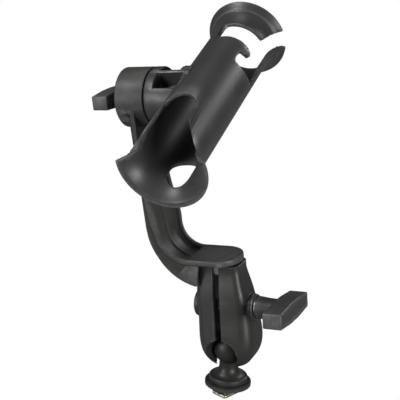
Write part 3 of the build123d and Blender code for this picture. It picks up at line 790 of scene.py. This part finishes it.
# The hooked pocket behind the slot's tongue
COLLAR_POCKET = (
    (44, 39, 49), (45, 35.6, 51), (47, 33.4, 52.2), (52, 32, 52.6), (60, 31.2, 53.4),
    (63, 31.2, 54.6), (65, 31.2, 57.5), (66, 31.3, 62), (84, 32.2, 62), (97, 35, 62),
    (102, 36.4, 65.5), (108, 37.6, 52.6), (113, 38.8, 41.5),
)
SLOT_INSIDE, SLOT_OUTSIDE = 20, 70
SLOT_STEP = 3.75

# Where the two hub halves meet, and how far the tube's half is solid behind its face
HUB_SPLIT = -57.1
HUB_SPLIT_GAP = 1.7
HUB_FACE = HUB_SPLIT + HUB_SPLIT_GAP / 2
HUB_SHELL = 11.0
HUB_CORE = 13.5
HUB_EDGE = 1.0
HUB_SIDES = 72
HUB_INTO_TUBE = 12
# Windows behind the hub's band: first and last angle, and width along the bolt
HUB_WINDOWS = ((-38, 18, 24), (25, 61, 30))
WINDOW_CLEAR = 5
WINDOW_STEP = 6.0
# The bolt's way through the hub: the spring's well, the bolt's hole and the head's seat
SPRING_WELL_R, SPRING_WELL_DEPTH = 8.5, 7
BOLT_HOLE_R = 4.2
BOLT_HEAD_X = -41.0
BOLT_HEAD_R, BOLT_HEAD_DEPTH = 7.8, 5.8


def flare_stations(start, reach, radius, rim_radius, wall, lip):
    """Heights and radii of one skin of a flare, from its start to its rim."""
    rise, run = rim_radius - radius, reach - start
    bend = (run**2 + rise**2) / (2 * rise)
    stations = []
    for part in FLARE_RINGS:
        along = run * part
        skin = radius + bend - math.sqrt((bend + wall) ** 2 - along**2)
        stations.append((start + along, skin + (lip if part > LIP_FROM else 0.0)))
    return stations


def tube_skin(size, wall, beyond, lip):
    """Heights and radii of one skin of the tube, from the scoop's rim to the collar's."""
    radius = size["tube_diameter"] / 2
    flares = []
    for end in ("collar", "scoop"):
        reach, rim = size[end + "_reach"], size[end + "_radius"] - lip
        flares.append(flare_stations(size["flare_start"], reach, radius, rim, wall, lip))
    collar, scoop = flares
    middle = [(s, radius - wall) for s in TUBE_RINGS]
    skin = [(-s, r) for s, r in reversed(scoop)] + middle + collar
    if beyond:
        skin = [(skin[0][0] - beyond, skin[0][1] + beyond)] + skin
        skin.append((skin[-1][0] + beyond, skin[-1][1] + beyond))
    return skin


def build_hub_half(size, hub_place):
    """The tube's half of the tilt hub: a drum with windows behind its band."""
    radius = size["hub_diameter"] / 2
    drum = turned(
        "hub_drum",
        (
            (HUB_FACE, radius - HUB_EDGE), (HUB_FACE + HUB_EDGE, radius),
            (HUB_FACE + HUB_SHELL, radius), (size["tube_offset"] - HUB_INTO_TUBE, radius),
        ),
        HUB_SIDES,
    )
    laid(drum, hub_place)
    for first, last, width in HUB_WINDOWS:
        low, high = HUB_FACE + HUB_SHELL, HUB_FACE + HUB_SHELL + width
        sides = ((first, low, high), (last, low, high))
        cutter = swept_band("window", sides, HUB_CORE, radius + WINDOW_CLEAR, WINDOW_STEP)
        combined(drum, laid(cutter, hub_place))
    return rounded(drum, HUB_EDGE, segments=2, angle=40, merge=0.01)


def bolt_way():
    """The solid that clears the tilt bolt, its head and the spring from the hub."""
    well_end = HUB_FACE + SPRING_WELL_DEPTH
    stations = (
        (HUB_FACE - 1, SPRING_WELL_R), (well_end, SPRING_WELL_R), (well_end, BOLT_HOLE_R),
        (BOLT_HEAD_X, BOLT_HOLE_R), (BOLT_HEAD_X, BOLT_HEAD_R),
        (BOLT_HEAD_X + BOLT_HEAD_DEPTH, BOLT_HEAD_R),
    )
    return turned("bolt_way", stations, segments=32)


def scoop_outline():
    """The outline of the scoop's open top, round its apex from the left side to the right."""
    centre = SCOOP_APEX - SCOOP_HALF
    points = [(SCOOP_FLOOR, -half, s) for s, half in SCOOP_LEFT]
    for step in range(SCOOP_ARC_STEPS + 1):
        turn = math.radians(90 - 180 * step / SCOOP_ARC_STEPS)
        points.append(
            (SCOOP_FLOOR, -SCOOP_HALF * math.sin(turn), centre + SCOOP_HALF * math.cos(turn))
        )
    return points + [(SCOOP_FLOOR, half, s) for s, half in reversed(SCOOP_RIGHT)]


def drain_outline():
    """The outline of the drain hole: a slot with round ends along the tube."""
    middle, full_length, width = DRAIN
    radius = width / 2
    run = (full_length - width) / 2
    points = []
    for end in (1, -1):
        for step in range(DRAIN_END_STEPS + 1):
            turn = math.radians(-90 + 180 * step / DRAIN_END_STEPS)
            along = middle + end * (run + radius * math.cos(turn))
            points.append((0, end * radius * math.sin(turn), along))
    return points


def build_tube():
    """The tube with its scoop, collar, slot and hub half, as one moulding."""
    size = sizes_in_mm()
    sides = size["tube_sides"]
    tilt = size["tube_tilt"]
    up = (0, -math.sin(tilt), math.cos(tilt))
    along = (0, math.cos(tilt), math.sin(tilt))
    tube_place = placed((size["tube_offset"], 0, HUB.z), up, (1, 0, 0), along)
    hub_place = placed((0, 0, HUB.z), *BOLT_TURN)
    tube = turned("tube_moulding", tube_skin(size, 0.0, 0, size["rim_lip"]), sides)
    laid(tube, tube_place)
    combined(tube, build_hub_half(size, hub_place), "UNION")
    combined(tube, laid(bolt_way(), hub_place))
    bore = turned("bore", tube_skin(size, size["tube_wall"], BORE_BEYOND, 0.0), sides)
    combined(tube, laid(bore, tube_place))
    combined(tube, laid(prism("scoop_cut", scoop_outline(), (THROUGH_WALL, 0, 0)), tube_place))
    combined(tube, laid(prism("drain_cut", drain_outline(), (-THROUGH_WALL, 0, 0)), tube_place))
    for name, stations in (("slot_cut", COLLAR_SLOT), ("pocket_cut", COLLAR_POCKET)):
        cutter = swept_band(name, stations, SLOT_INSIDE, SLOT_OUTSIDE, SLOT_STEP)
        combined(tube, laid(cutter, tube_place))
    rounded(tube, size["edge_round"], segments=2, angle=36, merge=0.3)
    laid(tube, TO_FRAME)
    settle(tube, "tube", "tube_composite", ("rod_tube",), angle=30)


# ---------------------------------------------------------------- T handles
# Each handle along its bolt: the bar's ends, its depths in the middle and at its ends, the
# margin round its sunk outer face, its stem, and the way for its insert
CLAMP_BAR = (62.0, 84.0)
CLAMP_BAR_DEPTHS = (23.0, 17.5)
CLAMP_BAR_MARGIN = 2.6
CLAMP_BAR_TURN = -5.9
CLAMP_STEM = (
    (40.9, 12.2), (41.5, 12.9), (44.0, 12.8), (52.0, 11.9), (60.0, 11.4), (62.5, 11.6),
    (66.0, 11.6),
)
CLAMP_INSERT_WAY = ((39.0, 7.05), (54.9, 7.05), (54.9, 4.3), (77.0, 4.3))
TILT_BAR = (-120.6, -101.6)
TILT_BAR_DEPTHS = (19.0, 15.5)
TILT_BAR_MARGIN = 2.2
TILT_STEM = ((-94.7, 9.2), (-95.2, 9.5), (-100.0, 9.3), (-102.0, 9.6), (-106.0, 9.6))
TILT_INSERT_WAY = ((-93.0, 7.05), (-108.7, 7.05), (-108.7, 4.3), (-118.7, 4.3))
TILT_ROUND_PART = 0.8
FACE_SINK = 0.5
# The outer face is the large one whose normal lies this nearly along the bolt
FACE_LARGE = 20
FACE_ALONG = 0.99
STEM_SIDES = 64
WAY_SIDES = 40


def handle_bar(name, ends, length_y, depths, edge):
    """A T handle's bar across its bolt: deep in the middle, shallower at its ends."""
    (low, high), (middle, end) = ends, depths
    piece = start_piece(
        name,
        bpy.ops.mesh.primitive_cube_add,
        size=1,
        location=((low + high) / 2, 0, 0),
        scale=(high - low, length_y, middle),
    )
    for cut in (-middle / 2, middle / 2):
        bpy.ops.mesh.select_all(action="SELECT")
        bpy.ops.mesh.bisect(plane_co=(0, cut, 0), plane_no=(0, 1, 0))
    pick(piece, "VERT", lambda vertex: abs(vertex.co.y) > length_y / 2 - 0.01)
    bpy.ops.transform.resize(value=(1, 1, end / middle), center_override=(0, 0, 0))
    close_piece(piece)
    return rounded(piece, edge, segments=3, angle=8)


def finish_handle(bar, outward, margin, turn, stem, insert_way):
    """Sinks a bar's outer face, turns the bar, and gives it its stem and its insert's way."""
    pick(
        bar,
        "FACE",
        lambda face: face.normal.x * outward > FACE_ALONG and face.area > FACE_LARGE,
    )
    bpy.ops.mesh.inset(thickness=margin, depth=0.0)
    bpy.ops.mesh.inset(thickness=FACE_SINK, depth=-FACE_SINK)
    bpy.ops.object.mode_set(mode="OBJECT")
    laid(bar, Matrix.Rotation(math.radians(turn), 4, "X"))
    along_bolt = placed((0, 0, 0), *BOLT_TURN)
    combined(bar, laid(turned("handle_stem", stem, STEM_SIDES), along_bolt), "UNION")
    combined(bar, laid(turned("insert_way", insert_way, WAY_SIDES), along_bolt))


def build_clamp_handle():
    """The clamp's T handle on its tapered stem."""
    size = sizes_in_mm()
    edge = size["handle_round"]
    bar = handle_bar("clamp_handle_bar", CLAMP_BAR, size["clamp_handle"], CLAMP_BAR_DEPTHS, edge)
    finish_handle(bar, 1, CLAMP_BAR_MARGIN, CLAMP_BAR_TURN, CLAMP_STEM, CLAMP_INSERT_WAY)
    laid(bar, TO_FRAME @ Matrix.Translation((0, 0, CLAMP.z)))
    settle(bar, "clamp_handle", "knob_composite", ("clamp_knob",), angle=35)


def build_tilt_handle():
    """The tilt hub's T handle on its round stem."""
    size = sizes_in_mm()
    edge = size["handle_round"] * TILT_ROUND_PART
    bar = handle_bar("tilt_handle_bar", TILT_BAR, size["tilt_handle"], TILT_BAR_DEPTHS, edge)
    finish_handle(bar, -1, TILT_BAR_MARGIN, 0.0, TILT_STEM, TILT_INSERT_WAY)
    laid(bar, TO_FRAME @ Matrix.Translation((0, 0, HUB.z)))
    settle(bar, "hub_handle", "knob_composite", ("hub_knob",), angle=35)


# ---------------------------------------------------------------- arm, jaws and ball
# The arm seen along Y, as distances across and heights above the ball
PAD_TOP = 115.5
PANEL_TOP = 282.2
ARM_FRONT_EDGE = (
    (-70.0, 294.9), (-69.2, 270.0), (-68.0, 240.0), (-66.8, 210.0), (-65.6, 181.0),
    (-63.6, 165.0), (-60.6, 152.0),
)
INNER_BEND_X = -29.5
INNER_BEND_R = 29.0
INNER_BEND_FROM, INNER_BEND_SWEEP = 186, 84
INNER_BEND_STEPS = 14
# The arm's half widths by height
ARM_SIDES = ((26.2, 40), (26.2, PAD_TOP), (31.0, 152.0), (32.0, 291.9), (32.0, 320.0))
# How far the panels' cutter reaches past the arm: in front, behind and to each side
PANEL_FRONT, PANEL_BEHIND, PANEL_ASIDE = 20, -130, 60
CORE_BEHIND, CORE_LENGTH = -160, 220
PANEL_TOP_STEP = 0.5
# Rounding of the edges that the CAD leaves sharp
ARM_ROUND = 1.0
JAW_ROUND = 1.1
BALL_ROUND = 0.5


def arm_panels(lip, sink):
    """The cutter that sinks the arm's sides below a lip along its channelled face."""
    base = BALL.z
    points = [(ARM_FRONT_EDGE[0][0] - lip + PANEL_TOP_STEP, base + PANEL_TOP)]
    points += [(x - lip, base + up) for x, up in ARM_FRONT_EDGE if up < PANEL_TOP]
    reach = INNER_BEND_R + lip
    for step in range(INNER_BEND_STEPS + 1):
        turn = math.radians(INNER_BEND_FROM + INNER_BEND_SWEEP * step / INNER_BEND_STEPS)
        height = base + PAD_TOP + INNER_BEND_R + reach * math.sin(turn)
        points.append((INNER_BEND_X + reach * math.cos(turn), height))
    points += [(PANEL_FRONT, base + PAD_TOP - lip), (PANEL_FRONT, base), (PANEL_BEHIND, base)]
    points.append((PANEL_BEHIND, base + PANEL_TOP))
    panels = [(x, -PANEL_ASIDE, z) for x, z in points]
    cutter = prism("panel_cut", panels, (0, 2 * PANEL_ASIDE, 0))
    sides = [(CORE_BEHIND, y - sink, base + up) for y, up in ARM_SIDES]
    sides += [(CORE_BEHIND, sink - y, base + up) for y, up in reversed(ARM_SIDES)]
    return combined(cutter, prism("arm_core", sides, (CORE_LENGTH, 0, 0)))


def build_arm():
    """The arm with its pad, channels, sunk sides and hub half."""
    size = sizes_in_mm()
    arm = laid(merged_copy("arm", "arm_moulding", flat=0.4), UPRIGHT)
    combined(arm, arm_panels(size["panel_lip"], size["panel_sink"]))
    rounded(arm, ARM_ROUND, segments=2, angle=28, merge=0.1)
    laid(arm, TO_FRAME)
    settle(arm, "arm_frame", "arm_composite", ("arm",))


def build_jaws():
    """The fixed jaw on the arm and the moving jaw that the clamp bolt draws in."""
    for node, name, body in (
        ("fixed_jaw", "fixed_jaw_moulding", "arm_frame"),
        ("moving_jaw", "moving_jaw_moulding", "jaw"),
    ):
        jaw = merged_copy(node, name, flat=0.2)
        rounded(jaw, JAW_ROUND, segments=3, angle=30, merge=0.1)
        laid(jaw, Matrix.Scale(MM, 4))
        settle(jaw, body, "jaw_composite", (node,))


def build_ball():
    """The ball, its post and its flange."""
    ball = merged_copy("ball_stud", "ball_moulding", flat=1.0)
    rounded(ball, BALL_ROUND, segments=2, angle=30)
    laid(ball, Matrix.Scale(MM, 4))
    settle(ball, "ball_mount", "ball_composite", ("ball_stud",))


# ---------------------------------------------------------------- track bolt
PLATE_LENGTH = 32.0
PLATE_WIDTH = 21.0
PLATE_CORNER = 3.0
PLATE_EDGE = 0.55
PLATE_TURN = 71
STUD_WAY_R = 4.75
# The stud's thread: parts of one pitch and radii there, then its two ends
THREAD_TURN = ((0.1, 4.7), (0.5, 4.05), (0.9, 4.7))
STUD_FOOT = ((0.0, 4.1), (0.5, 4.7))
STUD_TIP = ((-0.8, 4.6), (0.0, 3.8))
STUD_PLAIN = 1.0


def build_track_plate(low, high):
    """The track bolt's plate with rounded corners and the stud's way through it."""
    plate = start_piece(
        "track_plate",
        bpy.ops.mesh.primitive_cube_add,
        size=1,
        location=(0, 0, (low + high) / 2),
        scale=(PLATE_LENGTH, PLATE_WIDTH, high - low),
    )

    def upright(edge):
        first, last = (plate.data.vertices[index].co for index in edge.vertices)
        return abs(first.z - last.z) > 1.0

    pick(plate, "EDGE", upright)
    bpy.ops.mesh.bevel(offset=PLATE_CORNER, segments=6)
    close_piece(plate)
    rounded(plate, PLATE_EDGE, segments=3, angle=40)
    way = ((low - 1, STUD_WAY_R), (high + 1, STUD_WAY_R))
    combined(plate, turned("stud_way", way, segments=48))
    laid(plate, Matrix.Scale(MM, 4) @ Matrix.Rotation(math.radians(PLATE_TURN), 4, "Z"))
    settle(plate, "track_mount", "bright_brass", ("t_bolt_plate",))


def build_track_bolt():
    """The track bolt's plate and its threaded stud."""
    low, high = (corner[2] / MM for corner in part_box("t_bolt_plate"))
    build_track_plate(low, high)
    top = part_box("t_bolt_stud")[1][2] / MM
    pitch = sizes_in_mm()["thread_pitch"]
    stations = [(low + above, radius) for above, radius in STUD_FOOT]
    height = high
    while height + pitch < top - STUD_PLAIN:
        stations += [(height + pitch * part, radius) for part, radius in THREAD_TURN]
        height += pitch
    stations += [(top + above, radius) for above, radius in STUD_TIP]
    stud = laid(turned("track_stud", stations, segments=40), Matrix.Scale(MM, 4))
    settle(stud, "track_mount", "bright_brass", ("t_bolt_stud",))


# ---------------------------------------------------------------- stage
SOFT_LIGHT = 0.07
FLOOR_SIZE = 60
FLOOR_DROP = 0.2 * MM
FLOOR_GREY = 0.32
# Name, place, width and power of each light
LIGHTS = (
    ("key", (-1.3, -1.4, 2.0), 0.7, 30.0),
    ("front", (-1.3, -2.0, 0.4), 0.8, 20.0),
    ("fill", (2.0, -0.9, 0.3), 0.8, 32.0),
    ("top", (-0.6, 0.2, 2.4), 0.9, 5.0),
    ("back", (0.9, 1.9, 1.5), 0.8, 14.0),
)
LIGHT_AIM = Vector((0, 0, 0.2))
CAMERA_PLACE = Vector((0.38775, -0.96218, 0.52353))
CAMERA_AIM = Vector((-0.03025, -0.03464, 0.22594))
CAMERA_ROLL = 2.52
CAMERA_LENS = 88.0
WHITE = (1, 1, 1, 1)


def white_to_camera(tree, output, lit, seen):
    """Shows one shader to the camera and another to every other ray."""
    path = wire(tree, "ShaderNodeLightPath")
    mix = wire(tree, "ShaderNodeMixShader", {0: path.outputs["Is Camera Ray"], 1: lit, 2: seen})
    tree.links.new(mix.outputs[0], tree.nodes[output].inputs["Surface"])


def build_world():
    """A dim even light that the camera sees as white."""
    world = bpy.data.worlds.new("Soft Light")
    bpy.context.scene.world = world
    world.use_nodes = True
    tree = world.node_tree
    seen = tree.nodes["Background"]
    seen.inputs["Color"].default_value = WHITE
    seen.inputs["Strength"].default_value = 1.0
    lit = wire(tree, "ShaderNodeBackground", {"Color": WHITE, "Strength": SOFT_LIGHT})
    white_to_camera(tree, "World Output", lit.outputs[0], seen.outputs[0])


def build_floor():
    """A pale floor just under the object, white to the camera."""
    bpy.ops.object.select_all(action="DESELECT")
    bpy.ops.mesh.primitive_plane_add(size=FLOOR_SIZE, location=(0, 0, CAD_BOX[0][2] - FLOOR_DROP))
    floor = bpy.context.object
    floor.name = "floor"
    material = bpy.data.materials.new("pale_floor")
    material.use_nodes = True
    tree = material.node_tree
    shader = tree.nodes["Principled BSDF"]
    shader.inputs["Base Color"].default_value = (FLOOR_GREY, FLOOR_GREY, FLOOR_GREY, 1)
    shader.inputs["Roughness"].default_value = 0.9
    glow = wire(tree, "ShaderNodeEmission", {"Color": WHITE, "Strength": 1.0})
    white_to_camera(tree, "Material Output", shader.outputs[0], glow.outputs[0])
    floor.data.materials.append(material)


def aimed(name, data, place, aim):
    """Links a light or a camera at a place and points it at another."""
    thing = bpy.data.objects.new(name, data)
    bpy.context.scene.collection.objects.link(thing)
    thing.location = place
    thing.rotation_mode = "QUATERNION"
    thing.rotation_quaternion = (aim - Vector(place)).to_track_quat("-Z", "Y")
    return thing


def build_stage():
    """Pale floor, soft lights and the camera."""
    build_world()
    build_floor()
    for name, place, width, power in LIGHTS:
        light = bpy.data.lights.new(name, "AREA")
        light.energy = power
        light.size = width
        aimed(name, light, place, LIGHT_AIM)
    lens = bpy.data.cameras.new("camera")
    lens.sensor_width = 36
    lens.lens = CAMERA_LENS
    lens.clip_start = 0.01
    camera = aimed("camera", lens, CAMERA_PLACE, CAMERA_AIM)
    level = camera.rotation_quaternion.copy()
    camera.rotation_quaternion = level @ Quaternion((0, 0, 1), math.radians(CAMERA_ROLL))
    scene = bpy.context.scene
    scene.camera = camera
    scene.view_settings.view_transform = "Standard"


# ---------------------------------------------------------------- add-on
class ROD_HOLDER_OT_finishes(bpy.types.Operator):
    """Makes the finishes and puts them on the CAD nodes"""

    bl_idname = "rod_holder.finishes"
    bl_label = "Make Finishes"

    def execute(self, context):
        make_finishes(context.scene.rod_holder_colours)
        finish_cad_nodes()
        return {"FINISHED"}


class ROD_HOLDER_OT_tube(bpy.types.Operator):
    """Models the tube with its scoop, collar, slot and hub half"""

    bl_idname = "rod_holder.tube"
    bl_label = "Model Tube"

    def execute(self, context):
        build_tube()
        return {"FINISHED"}


class ROD_HOLDER_OT_arm(bpy.types.Operator):
    """Models the arm with its pad, channels, side panels and hub half"""

    bl_idname = "rod_holder.arm"
    bl_label = "Model Arm"

    def execute(self, context):
        build_arm()
        return {"FINISHED"}


class ROD_HOLDER_OT_jaws(bpy.types.Operator):
    """Models the fixed jaw and the moving jaw"""

    bl_idname = "rod_holder.jaws"
    bl_label = "Model Jaws"

    def execute(self, context):
        build_jaws()
        return {"FINISHED"}


class ROD_HOLDER_OT_clamp_handle(bpy.types.Operator):
    """Models the clamp's T handle"""

    bl_idname = "rod_holder.clamp_handle"
    bl_label = "Model Clamp Handle"

    def execute(self, context):
        build_clamp_handle()
        return {"FINISHED"}


class ROD_HOLDER_OT_tilt_handle(bpy.types.Operator):
    """Models the tilt hub's T handle"""

    bl_idname = "rod_holder.tilt_handle"
    bl_label = "Model Tilt Handle"

    def execute(self, context):
        build_tilt_handle()
        return {"FINISHED"}


class ROD_HOLDER_OT_ball(bpy.types.Operator):
    """Models the ball, its post and its flange"""

    bl_idname = "rod_holder.ball"
    bl_label = "Model Ball"

    def execute(self, context):
        build_ball()
        return {"FINISHED"}


class ROD_HOLDER_OT_track_bolt(bpy.types.Operator):
    """Models the track bolt's plate and threaded stud"""

    bl_idname = "rod_holder.track_bolt"
    bl_label = "Model Track Bolt"

    def execute(self, context):
        build_track_bolt()
        return {"FINISHED"}


class ROD_HOLDER_OT_stage(bpy.types.Operator):
    """Sets up the pale floor, the soft lights and the camera"""

    bl_idname = "rod_holder.stage"
    bl_label = "Set Stage"

    def execute(self, context):
        build_stage()
        return {"FINISHED"}


OPERATORS = (
    ROD_HOLDER_OT_finishes,
    ROD_HOLDER_OT_tube,
    ROD_HOLDER_OT_arm,
    ROD_HOLDER_OT_jaws,
    ROD_HOLDER_OT_clamp_handle,
    ROD_HOLDER_OT_tilt_handle,
    ROD_HOLDER_OT_ball,
    ROD_HOLDER_OT_track_bolt,
    ROD_HOLDER_OT_stage,
)


class ROD_HOLDER_PT_panel(bpy.types.Panel):
    """Sizes, colours and modelling steps of the rod holder"""

    bl_idname = "ROD_HOLDER_PT_panel"
    bl_label = "Rod Holder"
    bl_space_type = "VIEW_3D"
    bl_region_type = "UI"
    bl_category = "Rod Holder"

    def draw(self, context):
        column = self.layout.column()
        for title, group, values in (
            ("Sizes", RodHolderSizes, context.scene.rod_holder_sizes),
            ("Colours", RodHolderColours, context.scene.rod_holder_colours),
        ):
            column.label(text=title)
            for name in group.__annotations__:
                column.prop(values, name)
        column.label(text="Steps")
        for operator in OPERATORS:
            column.operator(operator.bl_idname)


CLASSES = (RodHolderSizes, RodHolderColours, *OPERATORS, ROD_HOLDER_PT_panel)


def register():
    for item in CLASSES:
        bpy.utils.register_class(item)
    bpy.types.Scene.rod_holder_sizes = PointerProperty(type=RodHolderSizes)
    bpy.types.Scene.rod_holder_colours = PointerProperty(type=RodHolderColours)


def unregister():
    del bpy.types.Scene.rod_holder_colours
    del bpy.types.Scene.rod_holder_sizes
    for item in reversed(CLASSES):
        bpy.utils.unregister_class(item)


def main():
    register()
    bpy.ops.rod_holder.finishes()
    bpy.ops.rod_holder.tube()
    bpy.ops.rod_holder.arm()
    bpy.ops.rod_holder.jaws()
    bpy.ops.rod_holder.clamp_handle()
    bpy.ops.rod_holder.tilt_handle()
    bpy.ops.rod_holder.ball()
    bpy.ops.rod_holder.track_bolt()
    bpy.ops.rod_holder.stage()


if __name__ == "__main__":
    main()
